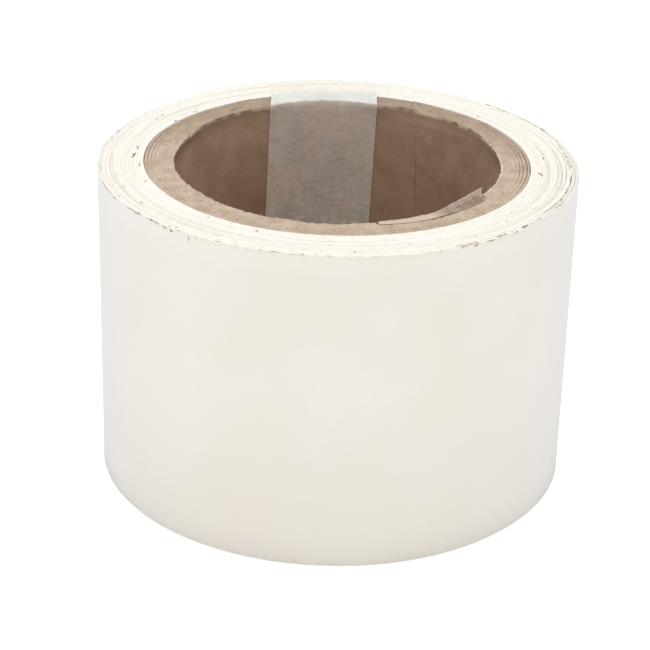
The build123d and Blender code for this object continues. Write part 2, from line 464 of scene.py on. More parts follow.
def board_cut():
    """Cut end of the laminated board: tan, fibrous, with painted shade along the ply edges and where
    the plies part.
    """
    m = Material("kraft_board_cut")
    p = m.coords()
    xyz = m.xyz()
    r, az = m.radius(xyz), m.azimuth(xyz)
    cloud = m.patches(p, band=(0.35, 0.68), scale=0.35, detail=4, rough=0.6)
    base = m.mix(srgb(180, 160, 140), srgb(199, 182, 163), cloud)
    speck = m.patches(p, band=(0.50, 0.66), scale=2.7, detail=5, rough=0.78)
    base = m.mix(base, srgb(216, 200, 178), speck, strength=0.60)
    shrunk = m.coords(scale=(1100, 1100, 1100))
    dark = m.patches(shrunk, band=(0.52, 0.66), scale=2.2, detail=5, rough=0.75)
    base = m.mix(base, srgb(132, 104, 80), dark, strength=0.62)
    # painted shade along the ply edges and in the gaps where the plies part
    base = m.mix(base, srgb(92, 66, 46), m.attr("groove_shade"), strength=0.75)
    base = m.mix(base, srgb(220, 200, 172), m.attr("lip"), strength=0.6)
    # bruised lighter along the bore's edge at the right
    bruise = m.times(m.ramp(r, span=(25.50, 25.85), to=(1.0, 0.0)),
                     m.ramp(az, span=(-40.0, -30.0)),
                     m.ramp(az, span=(4.0, 24.0), to=(1.0, 0.0)))
    base = m.mix(base, srgb(226, 206, 174), bruise, strength=0.7)
    # painted shade: the rear of the cut rim darker
    rear = m.ramp(m.sine(az), span=(0.0, 0.9), to=(0.0, 0.50))
    base = m.mix(base, srgb(132, 112, 92), rear)
    coarse = m.bump(p, distance=0.00016, strength=0.6, scale=1.6, detail=4, rough=0.7)
    return m.set({
        "Base Color": base,
        "Roughness": 0.88,
        "Specular IOR Level": 0.25,
        "Normal": m.bump(p, distance=0.00006, strength=0.7, on=coarse,
                         scale=6.0, detail=4, rough=0.75),
    })


def board_wall():
    """Smooth kraft face of the core's liner, inside the bore."""
    m = Material("kraft_board_face")
    p = m.coords()
    cloud = m.patches(p, band=(0.32, 0.68), scale=0.10, rough=0.6)
    base = m.mix(srgb(160, 130, 108), srgb(172, 143, 120), cloud)
    streak = m.patches(m.coords(scale=(500, 500, 2400)), band=(0.35, 0.72), to=(0.0, 0.35),
                       scale=0.9, detail=5, rough=0.7)
    base = m.mix(base, srgb(146, 114, 92), streak)
    fleck = m.patches(p, band=(0.60, 0.74), scale=2.8, detail=4, rough=0.7)
    base = m.mix(base, srgb(190, 162, 134), fleck, strength=0.22)
    blotch = m.patches(p, band=(0.46, 0.66), scale=0.22, detail=4, rough=0.65)
    base = m.mix(base, srgb(134, 98, 78), blotch, strength=0.35)
    upper = m.ramp(m.height(m.xyz()), span=(TOP - 3.4, TOP - 0.5), to=(0.0, 0.62))
    base = m.mix(base, srgb(92, 70, 56), upper)
    base = m.mix(base, srgb(206, 184, 156), m.attr("lip"), strength=0.7)
    coarse = m.bump(p, distance=0.00010, strength=0.35, scale=0.5, rough=0.6)
    return m.set({
        "Base Color": base,
        "Roughness": m.patches(p, band=(0.3, 0.7), to=(0.62, 0.78), scale=1.2),
        "Specular IOR Level": 0.3,
        "Normal": m.bump(p, distance=0.00003, strength=0.5, on=coarse,
                         scale=4.0, detail=4, rough=0.7),
    })


def torn_board():
    """Torn side of the liner ply: greyish pink-brown, with painted shade in its creases."""
    m = Material("kraft_board_torn")
    p = m.coords()
    cloud = m.patches(p, band=(0.35, 0.68), scale=0.7, detail=4, rough=0.65)
    base = m.mix(srgb(146, 128, 115), srgb(168, 150, 136), cloud)
    fibre = m.patches(p, band=(0.52, 0.72), scale=3.6, detail=5, rough=0.75)
    base = m.mix(base, srgb(190, 172, 154), fibre, strength=0.4)
    # painted shade in the creases
    crease = m.ramp(m.attr("crease"), span=(0.2, 1.0))
    base = m.mix(base, srgb(96, 76, 64), crease, strength=0.70)
    base = m.mix(base, srgb(206, 188, 168), m.attr("rim"), strength=0.8)
    return m.set({
        "Base Color": base,
        "Roughness": 0.85,
        "Specular IOR Level": 0.25,
        "Normal": m.bump(p, distance=0.00007, strength=0.8, scale=4.5, detail=4, rough=0.75),
    })


def clear_film():
    """Thin frosted adhesive film: cloudy where it hasn't stuck down, brighter along its sides."""
    m = Material("clear_film_frosted")
    p = m.coords()
    cool = m.attr("cool")
    blotch = m.patches(m.coords(scale=(1000, 1000, 700)), band=(0.32, 0.68),
                       scale=0.20, rough=0.6, distortion=0.3)
    grain = m.patches(m.coords(scale=(800, 800, 1500)), band=(0.32, 0.68),
                      scale=1.0, detail=5, rough=0.7)
    mottle = m.plus(m.times(blotch, 0.26), m.times(grain, 0.40))
    # the mottling is in the part stuck to the bore; over the rim the film is evenly cloudy
    mottle = m.times(mottle, m.ramp(cool, span=(0.0, 1.0), to=(1.0, 0.25)))
    cloudy = m.plus(mottle, m.ramp(cool, span=(0.0, 1.0), to=(0.67, 0.92)))
    alpha = m.times(m.attr("haze"), cloudy)
    # brighter along its sides: partly adhesive at the cut edges, partly a painted highlight where
    # the edges catch the light
    alpha = m.plus(alpha, m.times(m.attr("edge"), 0.13), clamp=True)
    tint = m.patches(p, band=(0.36, 0.64), scale=0.16, rough=0.55)
    warm = m.mix(srgb(228, 213, 196), srgb(222, 216, 204), tint)
    cold = m.mix(srgb(230, 231, 226), srgb(238, 238, 232), blotch)
    return m.set({
        "Base Color": m.mix(warm, cold, cool),
        "Alpha": alpha,
        "Roughness": m.ramp(blotch, span=(0.0, 1.0), to=(0.30, 0.42)),
        "IOR": 1.45,
        "Specular IOR Level": 0.35,
        "Normal": m.bump(p, distance=0.00005, strength=0.35, scale=0.8, rough=0.6),
    })


def lint():
    """Grey-brown lint; the highest tones are reddish."""
    m = Material("lint_dark")
    p = m.coords()
    tone = m.attr("tone")
    base = m.mix(srgb(116, 104, 90), srgb(166, 149, 128), m.ramp(tone, span=(0.0, 0.6)))
    base = m.mix(base, srgb(170, 112, 88), m.ramp(tone, span=(0.85, 0.9)))
    cloud = m.patches(p, band=(0.35, 0.65), to=(0.0, 0.5), scale=1.6, rough=0.6)
    return m.set({
        "Base Color": m.mix(base, srgb(138, 124, 106), cloud),
        "Roughness": 0.9,
        "Specular IOR Level": 0.2,
        "Normal": m.bump(p, distance=0.00003, strength=0.6, scale=8.0, rough=0.7),
    })


def light_fibres():
    m = Material("kraft_fibre_light")
    p = m.coords()
    cloud = m.patches(p, band=(0.35, 0.65), scale=1.2, detail=2)
    return m.set({
        "Base Color": m.mix(srgb(192, 170, 144), srgb(224, 210, 188), cloud),
        "Roughness": 0.85,
        "Specular IOR Level": 0.25,
        "Normal": m.bump(p, distance=0.00002, strength=0.5, scale=9.0, rough=0.7),
    })


M_LINER = satin_liner()
M_TAPE = tape_cream()
M_CUT = board_cut()
M_BORE = board_wall()
M_TORN = torn_board()
M_FILM = clear_film()
M_LINT = lint()
M_FIBRE = light_fibres()

# ---------------------------------------------------------------- the wound tape and liner
# An unwound angle phi is the azimuth plus 360 for every turn already made.
# (turns before the last, most stand-off, from azimuth, to azimuth): slack turns at the right
SLACK = [
    (0, 0.36, -50, 62), (1, 0.34, -44, 56), (2, 0.20, -40, 50), (3, 0.11, -36, 46),
    (4, 0.05, -32, 42),
]
# (turns before the last, depth, from azimuth, to azimuth): slack turns also sit lower
SUNK = [(0, 0.46, -36, 66), (1, 0.40, -30, 60)]
# (radius, width, depth, wander, phase): soft ring grooves of the end face
RINGS = [
    (31.7, 0.34, 0.16, 0.25, 1), (32.95, 0.36, 0.36, 0.35, 2), (34.85, 0.38, 0.40, 0.45, 3),
    (36.25, 0.24, 0.20, 0.20, 4),
]


def wrap_radius(phi):
    """Inner radius of the winding: round turns and a climb."""
    past = phi - RAMP_START
    k = np.floor(past / 360.0)
    climb = smooth01((past - 360.0 * k) / (RAMP_END - RAMP_START))
    return WRAP_R + PITCH * (k - 1 + climb)


def turn_az(phi, back):
    """Degrees from azimuth 0 of the last turn, or of the turn this many before it."""
    return phi - 360.0 * (TURNS - back)


def turn_slot(phi):
    """Number of the turn, to pick its own random value."""
    return np.round((phi - 180) / 360.0).astype(int) % (TURNS + 2)


def arch(az, start, end):
    """0 at both azimuths and outside them, 1 midway."""
    return np.sin(np.pi * np.clip((az - start) / (end - start), 0, 1))


def slack(phi):
    """How far the outer turns stand off the roll."""
    out = 0 * phi
    for back, height, start, end in SLACK:
        out = out + height * arch(turn_az(phi, back), start, end) ** 2
    return out


def ring_depth(r, az):
    a = np.radians(az)
    out = 0.05 + 0 * r
    for centre, width, depth, wander, phase in RINGS:
        c = centre + wander * (0.6 * np.sin(a + phase * 1.7) + 0.4 * np.sin(2 * a + phase * 2.9))
        out = out + depth * (1 + 0.35 * np.sin(3 * a + phase)) * ridge(r, c, width)
    return out


def drop(phi, r=None):
    """How far each turn's edge sits below the end plane."""
    if r is None:
        r = wrap_radius(phi) + 0.27
    per_turn = np.random.default_rng(11).uniform(-0.014, 0.014, TURNS + 2)[turn_slot(phi)]
    n = 4096
    place = (phi - PHI_START) / (PHI_END - PHI_START) * (n - 1)
    drift = np.interp(place, np.arange(n), track(seed=5, count=n, cutoff=130, falloff=0.3))
    d = ring_depth(r, phi) + per_turn + 0.030 * drift
    for back, depth, start, end in SUNK:
        d = d + depth * arch(turn_az(phi, back), start, end) ** 1.3
    return np.clip(d, 0.02, 0.8)


def sunk_turn_shade(phi):
    """Painted shade on the tops of the two slack, sunk turns, and on the last climb before them."""
    sunk_shade = 0 * phi
    for back, start in ((0, -49), (1, -35)):
        az = turn_az(phi, back)
        sunk_shade = sunk_shade + smooth01((az - start) / 10) * smooth01((56 - az) / 22)
    az = turn_az(phi, 1)
    sunk_shade = sunk_shade + 0.8 * smooth01((az - 138) / 14) * smooth01((208 - az) / 16)
    return np.clip(sunk_shade, 0, 1)


def ribbon(name, cad_name, offset, thick, step, last_step, wall_rows, mats, seed, rough):
    """A wound ribbon; step and last_step are degrees per station, finer on the last turn."""
    last_count = int((PHI_END - LAST_CLIMB) / last_step)
    phi = np.concatenate([
        np.arange(PHI_START, LAST_CLIMB, step), np.linspace(LAST_CLIMB, PHI_END, last_count)
    ])
    n = len(phi)

    def along(extra_seed, cutoff, falloff, samples=9000):
        """Noise along the whole ribbon."""
        wave = track(seed + extra_seed, samples, cutoff, falloff)
        return np.interp(np.arange(n), np.linspace(0, n, samples), wave)

    # the inner end is squeezed thin where the second turn climbs over it
    start = smooth01((phi - PHI_START) / (INNER_END_TO - PHI_START))
    squeeze = np.where(phi < INNER_END_TO, 0.10 + 0.90 * start, 1.0)
    base = np.where(phi < ROUND_START, WRAP_R, wrap_radius(phi))
    # it doesn't quite meet the core at its inner end
    base = base + 0.06 * np.where(phi < 230, az_bump(phi, centre=176, half=44), 0)
    inner = base + slack(phi) + offset * squeeze
    thickness = thick * squeeze
    d = drop(phi)
    # ragged lips: strongest on the turn left standing proud of the slack ones
    ragged = ridge(turn_az(phi, 2), centre=8, width=44.0)
    lip = along(7, cutoff=1500, falloff=0.2)
    last = smooth01((turn_az(phi, 1) - 150) / 20)
    jag = rough * along(0, cutoff=2600, falloff=0.35)
    jag = jag + 0.045 * last * along(9, cutoff=2300, falloff=0.15)
    top_out = TOP - drop(phi, inner + thickness) + jag + 0.05 * ragged * lip
    top_in = TOP - drop(phi, inner) + 0.7 * jag
    bottom = np.clip(0.27 - d, 0.0, None) * 0.45 + 0.015
    bottom = bottom + 0.6 * rough * np.abs(along(1, cutoff=2600, falloff=0.35))
    c = np.minimum(0.035, thickness * 0.25)  # corner rounding
    outer = inner + thickness + 0.05 * ragged * lip

    # the section runs: bottom, outer wall upward, top, inner wall downward
    cols = [
        (inner + 0.35 * c, bottom + 0.4 * c),
        (inner + c, bottom),
        (outer - c, bottom),
        (outer - 0.35 * c, bottom + 0.35 * c),
        (outer, bottom + c),
    ]
    cols += upright(outer, bottom + c, top_out - c, np.linspace(0, 1, wall_rows)[1:-1])
    top_col = len(cols)
    lumps = 0.10 * ragged * np.clip(lip, -0.8, 1.6)
    cols += [
        (outer + lumps, top_out - c),
        (outer + lumps - 0.35 * c, top_out - 0.35 * c),
        (outer + lumps - c, top_out),
        (0.5 * (inner + outer), 0.5 * (top_out + top_in) + 0.3 * c),
        (inner + c, top_in),
        (inner + 0.35 * c, top_in - 0.4 * c),
        (inner, top_in - c),
    ]
    cols += upright(inner, bottom + c, top_in - c, np.linspace(1, 0, 5)[1:-1])
    cols += [(inner, bottom + c)]
    r, z = stack_section(cols, phi)

    # the outer wall is very slightly uneven where the layers below telegraph through
    arc = np.radians(phi)[:, None] * 37.0
    uneven = 0.018 * sheet_noise(seed + 3, arc, z, wavelength=17.0, stretch=(1.0, 1.6))
    fade = np.exp(-(((phi - PHI_END) / 330.0) ** 4)) * smooth01((PHI_END - phi) / 8)
    r = r + uneven * fade[:, None] * (r > (inner + 0.5 * thickness)[:, None])
    verts, quads, tris = swept_solid(r, phi[:, None], z)

    m = r.shape[1]
    turn_tone = np.random.default_rng(seed).uniform(-0.12, 0.12, TURNS + 2)[turn_slot(phi)]
    tone = 0.62 + 0.12 * along(5, cutoff=700, falloff=0.4, samples=5000) + turn_tone
    # painted shade: darker where a turn's edge sits low, with faint lines at the section's corners
    groove_shade = np.zeros((n, m))
    groove_shade[:] = (0.55 * np.clip((d - 0.20) / 0.30, 0, 1))[:, None]
    groove_shade[:, [0, 3, top_col, top_col + 6]] += 0.04
    on_edge = np.isin(np.tile(np.arange(m), n - 1), np.arange(top_col, top_col + 6))
    ob = build(
        name, verts, quads, tris, mats=mats, sharp=50,
        index=np.concatenate([np.where(on_edge, len(mats) - 1, 0), np.zeros(len(tris), int)]),
        attrs={
            "tone": np.repeat(np.clip(tone, 0, 1), m),
            "groove_shade": np.clip(groove_shade, 0, 1),
            "sunk_shade": np.repeat(sunk_turn_shade(phi), m),
        },
    )
    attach(ob, "roll")
    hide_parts(cad_name)


ribbon("grip_tape", "grip_tape_winding", offset=-0.03, thick=0.44,
       step=1.0, last_step=0.5, wall_rows=4, mats=[M_TAPE], seed=21, rough=0.022)
ribbon("release_liner", "release_liner_winding", offset=0.40, thick=0.165,
       step=1.5, last_step=0.5, wall_rows=14, mats=[M_LINER, M_TAPE], seed=41, rough=0.016)


# ---------------------------------------------------------------- free ends of tape and liner
def free_end(name, offset, thick, mat, seed, rough, end_az):
    """The last stretch of a ribbon, past the root where it can lift off the roll."""
    n = 60
    az = np.linspace(ROOT_AZ + 0.003, end_az, n)
    phi = az + 360.0 * TURNS
    inner = wrap_radius(phi) + offset
    outer = inner + thick
    c = min(0.08, thick * 0.32)  # corner rounding
    jag = rough * track(seed, count=400, cutoff=90, falloff=0.3)[:n]
    top, bottom = TOP - drop(np.minimum(phi, PHI_END)) + jag, 0.03
    rows = np.linspace(0, 1, 22)
    cols = [(inner + c, bottom), (outer - c, bottom), (outer, bottom + c)]
    cols += upright(outer, bottom + c, top - c, rows[1:-1])
    cols += [(outer, top - c), (outer - c, top), (inner + c, top), (inner, top - c)]
    cols += upright(inner, bottom + c, top - c, rows[::-1][1:-1])
    cols += [(inner, bottom + c)]
    r, z = stack_section(cols, phi)
    # the cut end is very slightly out of square
    lean = (z / TOP - 0.5) * 0.5 + 0.06 * np.sin(z * 0.9) + 0.05 * np.sin(z * 2.3 + 1)
    a = az[:, None] + lean * (smooth01((az - az[0]) / (end_az - az[0])) ** 2)[:, None]
    return build(
        name, *swept_solid(r, a, z), mats=[mat], sharp=50,
        attrs={"tone": np.full(r.size, 0.5), "groove_shade": np.zeros(r.size)},
    )


tape_tail = free_end("grip_tape_end", offset=-0.022, thick=0.415, mat=M_TAPE,
                     seed=61, rough=0.02, end_az=END_AZ)
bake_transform(tape_tail)
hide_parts("grip_tape_tail")

liner_tail = free_end("release_liner_end", offset=0.40, thick=0.165, mat=M_LINER,
                      seed=71, rough=0.015, end_az=END_AZ - 0.5)
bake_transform(liner_tail)
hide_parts("release_liner_tail")

# ---------------------------------------------------------------- core plies
# how far the bore's worn upper edge leans outward, by azimuth
FLARE_AZ = [-180, -170, 12, 22, 36, 50, 62, 71, 76, 84, 92, 104, 114, 122, 135, 150, 158, 168, 180]
FLARE = [0, 0, 0, 0.45, 0.85, 1.15, 1.2, 0.95, 0.55, 1.0, 1.2, 0.9, 0.5, 0.55, 0.5, 0.25, -0.30,
         -0.25, 0]
# per ply, from the bore outward
PLY_GAP = [0.0, 0.0, 0.01, 0.0, 0.03, 0.14, 0.10, 0.25]
PLY_SINK = [0.06, 0.05, 0.06, 0.05, 0.06, 0.07, 0.11, 0.09]
# a ply's section: 6 bottom points outward, 2 up the outside, 6 top points inward, the inside
ACROSS = np.linspace(0, 1, 6)
TOP_OUTER, TOP_INNER = 8, 13


def notch_depth(az):
    """How far the liner's top edge is torn down."""
    t = BORE_R * np.sin(np.radians(az - FLAP_AZ))
    inside = (np.abs(az_from(az, FLAP_AZ)) < 60) & (t > -FLAP_HALF) & (t < FLAP_HALF - 1.0)
    return np.where(inside, 1.65 - 0.7 * (t + FLAP_HALF) / (2 * FLAP_HALF), 0.0)


def flare(az):
    return np.interp(az_from(az, 0), FLARE_AZ, FLARE)


def worn(r, az, z):
    """Radius after the core's upper edge is worn back; the outermost ply stays where it is."""
    depth = smooth01((z - (TOP - 2.6)) / 2.6) ** 1.4
    return r + flare(az) * depth * np.clip((WRAP_R - r) / (WRAP_R - BORE_R), 0, 1)


def ply_faces(index, az, rr, gap):
    """Heights of a ply's bottom and top at azimuths az and radii rr."""
    n = len(az)
    # a fibrous cut face, the same run of fibres crossing from ply to ply
    px, py = rr * np.cos(np.radians(az))[:, None], rr * np.sin(np.radians(az))[:, None]
    tex = 0.028 * sheet_noise(100, px, py, wavelength=1.1, waves=30)
    tex = tex + 0.013 * sheet_noise(200, px, py, wavelength=0.45, waves=34)
    swell = 0.05 * sheet_noise(300, px, py, wavelength=9.0)
    middle = 2 * ACROSS - 1
    sink = PLY_SINK[index] + 0.10 * gap
    crown = -(0.02 + 1.5 * gap[:, None]) * np.abs(middle)[None] ** 3
    top = TOP - sink[:, None] + crown + tex + swell
    bottom = 0.03 + np.abs(tex) * 0.8 + 0.02 * middle[None] ** 4
    if index == 0:
        fray = 0.09 * track(seed=31, count=n, cutoff=120, falloff=0.1)
        fray = fray + 0.06 * track(seed=32, count=n, cutoff=420)
        bite = np.clip(track(seed=33, count=n, cutoff=40) - 1.1, 0, 1.5) * 0.20
        top = top - (np.abs(fray) * 0.9 + bite)[:, None] * (1 - ACROSS[None]) ** 1.5
        padded = np.pad(notch_depth(az), 3, mode="wrap")
        soft = np.convolve(padded, np.ones(3) / 3, "same")[3:-3]
        top = top - (soft * (1 + 0.10 * track(seed=34, count=n, cutoff=200)))[:, None]
    # the plies under the torn sliver are pressed down, and it lies on them
    away = np.abs(az_from(az, FLAP_AZ))[:, None]
    under = np.clip((31.0 - away) / 4.0, 0, 1) * np.clip((27.9 - rr) / 0.5, 0, 1)
    return bottom, np.minimum(top, TOP + 0.05 - 0.12 * under)


def ply(index):
    name = PLIES[index]
    is_liner = index == 0
    outer = PLY_OUT[index]
    inner = BORE_R if is_liner else outer - PLY_STEP
    # each ply has a butt joint, away from its neighbour's
    seam = (60.0 + 137.5 * index) % 360
    half = math.degrees((0.004 if is_liner else 0.05) / inner)
    n = 1500 if is_liner else 1000
    az = np.linspace(seam + half, seam + 360 - half, n)
    wide = outer - inner + (0.045 if index < 7 else 0.0)
    # the outer plies have parted a little at the left rear and at the right
    part = 0.06 + 1.15 * az_bump(az, centre=158, half=38) + 1.3 * az_bump(az, centre=14, half=50)
    gap = PLY_GAP[index] * part
    bottom, top = ply_faces(index, az, inner + wide * ACROSS[None], gap)

    cols = [(inner + wide * f, bottom[:, j]) for j, f in enumerate(ACROSS)]
    cols += upright(inner + wide, bottom[:, -1], top[:, -1], np.linspace(0, 1, 4)[1:-1])
    cols += [(inner + wide * ACROSS[j], top[:, j]) for j in range(5, -1, -1)]
    if is_liner:
        # a thin torn lip, then the smooth wall at fixed heights
        lip_z = np.minimum(top[:, 0] - 0.10, TOP - 0.30)
        heights = [np.linspace(TOP - 0.45, TOP - 3.0, 9), np.linspace(TOP - 4.5, 1.0, 18)]
        for z in np.concatenate(heights):
            cols.append((inner, np.minimum(z, lip_z - 0.001 * (TOP - z))))
    else:
        cols += upright(inner, bottom[:, 0], top[:, 0], np.linspace(1, 0, 4)[1:-1])
    r, z = stack_section(cols, az)
    m = r.shape[1]
    a = az[:, None] + 0 * r
    if is_liner:
        wall = slice(TOP_INNER + 1, m)
        arc = np.radians(az)[:, None] * BORE_R
        r[:, wall] += 0.025 * sheet_noise(41, arc, z[:, wall], wavelength=11.0) + 0.02
        r[:, TOP_INNER] += 0.04 * track(seed=42, count=n, cutoff=300) + 0.03
        r = np.maximum(r, BORE_R - 0.02)
        # the liner was wound at a slight slant, so its joint leans
        a = a - 0.12 * (TOP - z)
    if index < 7:
        r = worn(r, a, z)
    verts, quads, tris = swept_solid(r, a, z)

    # the liner's bore face is smooth kraft, everything else the cut board
    col = np.tile(np.arange(m), n - 1)
    on_bore = (col >= TOP_INNER) & is_liner
    # painted shade along the ply edges, stronger at the left rear and right where the outer plies
    # part
    groove_shade = np.zeros((n, m))
    groove_shade[:, [0, 5, TOP_OUTER, TOP_INNER]] = 0.17
    if index >= 5:
        groove_shade[:, [TOP_OUTER, TOP_INNER]] += (1.1 * gap / 0.30)[:, None]
    patchy = track(60 + index, count=n, cutoff=60, falloff=0.3)
    groove_shade *= np.clip(0.55 + 0.45 * patchy, 0, 1)[:, None]
    lip = np.zeros((n, m))
    if is_liner:
        pale = np.clip(0.6 + 0.4 * track(seed=70, count=n, cutoff=90, falloff=0.2), 0, 1)
        lip[:, TOP_INNER - 1:TOP_INNER + 2] = pale[:, None]
        lip *= (notch_depth(az) < 0.1)[:, None]
    ob = build(
        name + "_board", verts, quads, tris, mats=[M_BORE, M_CUT], sharp=60,
        index=np.concatenate([np.where(on_bore, 0, 1), np.ones(len(tris), int)]),
        attrs={"groove_shade": np.clip(groove_shade, 0, 1), "lip": lip},
    )
    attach(ob, "roll")
    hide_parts(name)


for i in range(len(PLIES)):
    ply(i)

# ---------------------------------------------------------------- torn sliver of the liner
# height of the free edge above the end plane, by azimuth
SLIVER_AZ = [-76.2, -68.7, -63.2, -58.2, -54.6, -51.6, -48.9, -44.1, -38.7, -33.1, -29.5]
SLIVER_RISE = [0.04, 0.05, 0.07, 0.10, 0.20, 0.42, 0.62, 0.92, 1.13, 1.16, 1.06]
# radius of the edge that stays on the rim, by azimuth
SLIVER_BASE_AZ = [-76.2, -72, -66, -30]
SLIVER_BASE_R = [26.30, 26.62, 26.84, 26.84]
# outline of the broken end, in degrees, by fraction of the way across
BREAK_ACROSS = [0, 0.10, 0.28, 0.42, 0.52, 0.66, 0.80, 0.93, 1.0]
BREAK_DEG = [-4.6, -3.6, -2.4, -2.9, -3.9, -3.6, -2.6, -1.0, -1.4]


def torn_sliver():
    """It lies on the rim at its left end and stands up over the bore at its free right end."""
    n, m = 130, 18
    az = np.linspace(FLAP_AZ - 23.2, FLAP_AZ + 23.0, n)
    s = (az - az[0]) / (az[-1] - az[0])
    rise = np.interp(az, SLIVER_AZ, SLIVER_RISE) + 0.025 * track(51, count=n, cutoff=14) * s
    top_r = 25.34 - 0.10 * s + 0.03 * track(54, count=n, cutoff=20)
    base_r = np.interp(az, SLIVER_BASE_AZ, SLIVER_BASE_R) + 0.04 * track(55, count=n, cutoff=12)
    # v runs across from the rim to the free edge, s along to the free end
    v, s = np.linspace(0, 1, m)[None], s[:, None]
    crease = (ridge(v, 0.40 + 0.10 * s, 0.055)
              * smooth01((s - 0.52) / 0.12) * smooth01((0.97 - s) / 0.08))
    crease = crease + 0.9 * ridge(v, 0.17 + 0.10 * s, 0.05) * smooth01((s - 0.60) / 0.15)
    crease = crease + (0.7 * ridge(v, 0.62, 0.04)
                       * smooth01((s - 0.72) / 0.08) * smooth01((0.93 - s) / 0.05))
    belly = 0.16 * np.sin(np.pi * v) * smooth01((s - 0.40) / 0.3)
    r = base_r[:, None] + (top_r - base_r)[:, None] * v + belly * 0.6
    z = TOP + 0.03 + (rise[:, None] - 0.03) * v**1.15 + belly * 0.4
    fine = 0.018 * sheet_noise(53, az[:, None] * 0.45, v * 1.7, wavelength=0.7, waves=30)
    z = np.maximum(z + fine - 0.06 * crease, TOP + 0.03)
    r = r - 0.05 * crease
    # the free end is broken off in two steps
    jut = np.interp(v[0], BREAK_ACROSS, BREAK_DEG)
    a = az[:, None] + jut[None] * smooth01((s - 0.80) / 0.20)
    thick = 0.10 + 0.20 * v * smooth01((s - 0.35) / 0.25)
    thick = thick * (1 - 0.55 * ridge(v, 1, 0.06) - 0.3 * ridge(v, 0, 0.06))
    # the underside never sinks into the rim
    under_z = z - thick
    under_z = np.where(r > 25.9, np.maximum(under_z, TOP - 0.045), under_z)
    rim = np.clip(
        smooth01((v - 0.88) / 0.12) + smooth01((s - 0.985) / 0.015) + smooth01((0.52 - s) / 0.14),
        0, 1,
    )
    ob = build(
        "torn_liner_sliver",
        np.concatenate([cylinder_points(r, a, z), cylinder_points(r - 0.35 * thick, a, under_z)]),
        sheet_faces(n, m),
        mats=[M_TORN],
        sharp=70,
        attrs={
            "crease": np.tile(np.clip(crease, 0, 1).ravel(), 2),
            "rim": np.tile(rim.ravel(), 2),
        },
    )
    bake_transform(ob)
    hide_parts("torn_liner_flap")


torn_sliver()

# ---------------------------------------------------------------- loose board fibres on the rim
# (azimuth, radius, length, thickness) of larger tufts
TUFTS = [
    (158, 25.5, 1.1, 0.10), (160.5, 25.35, 0.9, 0.12), (163, 25.4, 0.8, 0.09),
    (155.5, 25.7, 0.7, 0.08), (-88, 25.5, 0.5, 0.08), (-84, 25.5, 0.4, 0.07),
    (31, 26.0, 0.8, 0.08), (24, 25.7, 0.7, 0.07), (17, 25.6, 0.8, 0.07), (40, 26.2, 0.7, 0.07),
]


def rim_hairs():
    """(root, tip, bulge, radius) of every fibre."""
    rng = np.random.default_rng(77)
    items = []
    for _ in range(330):
        az = rng.uniform(-180, 180)
        # none at the torn sliver or under the clear strip
        if -78 < az < -27 or 74 < az < 117:
            continue
        crowd = max(az_bump(az, 28, 40), az_bump(az, 150, 35), 0.8 * az_bump(az, -95, 60))
        if rng.random() > 0.35 + 0.65 * crowd:
            continue
        r = BORE_R + float(flare(az)) + rng.uniform(-0.02, 0.35)
        length = rng.uniform(0.2, 0.85)
        turn = rng.normal(0, 1.0)
        z = TOP - rng.uniform(0.05, 0.30)
        tip_az = az + math.degrees(length * math.sin(turn) / BORE_R)
        tip_r = r - abs(length * math.cos(turn)) * rng.uniform(-0.15, 0.45)
        tip = point(tip_r, tip_az, z + rng.uniform(-0.10, 0.28))
        items.append((point(r, az, z), tip, rng.uniform(0, 0.12), rng.uniform(0.022, 0.05)))
    for az, r, length, thick in TUFTS:
        tip = point(r - 0.15, az + math.degrees(0.8 * length / BORE_R), TOP + 0.05)
        items.append((point(r, az, TOP - 0.12), tip, 0.12, thick))
    # the light fibre lying across the rim above the liner's joint
    items.append((point(26.9, 61.2, TOP + 0.02), point(30.2, 65.0, TOP + 0.03), 0.05, 0.085))
    return items


def rim_fibres():
    rng = np.random.default_rng(78)
    sides, segments = 4, 6
    tubes = Tubes(sides)
    for root, tip, bulge, radius in rim_hairs():
        root, tip = np.array(root, float), np.array(tip, float)
        d = tip - root
        d = d / np.linalg.norm(d)
        side = np.cross(d, rng.normal(size=3))
        side /= np.linalg.norm(side)
        other = np.cross(d, side)
        points = []
        for i in range(segments + 1):
            f = i / segments
            centre = root + (tip - root) * f + side * bulge * math.sin(math.pi * f)
            swell = 0.25 + 0.75 * math.sin(math.pi * (0.08 + 0.84 * f)) ** 0.5
            for k in range(sides):
                a = 2 * math.pi * k / sides + 0.5 * f
                around = math.cos(a) * side + math.sin(a) * other
                points.append(centre + radius * swell * around)
        tubes.add(points)
    ob = build("core_rim_fibres", tubes.verts, tubes.quads, tubes.tris, mats=[M_FIBRE])
    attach(ob, "roll")


rim_fibres()

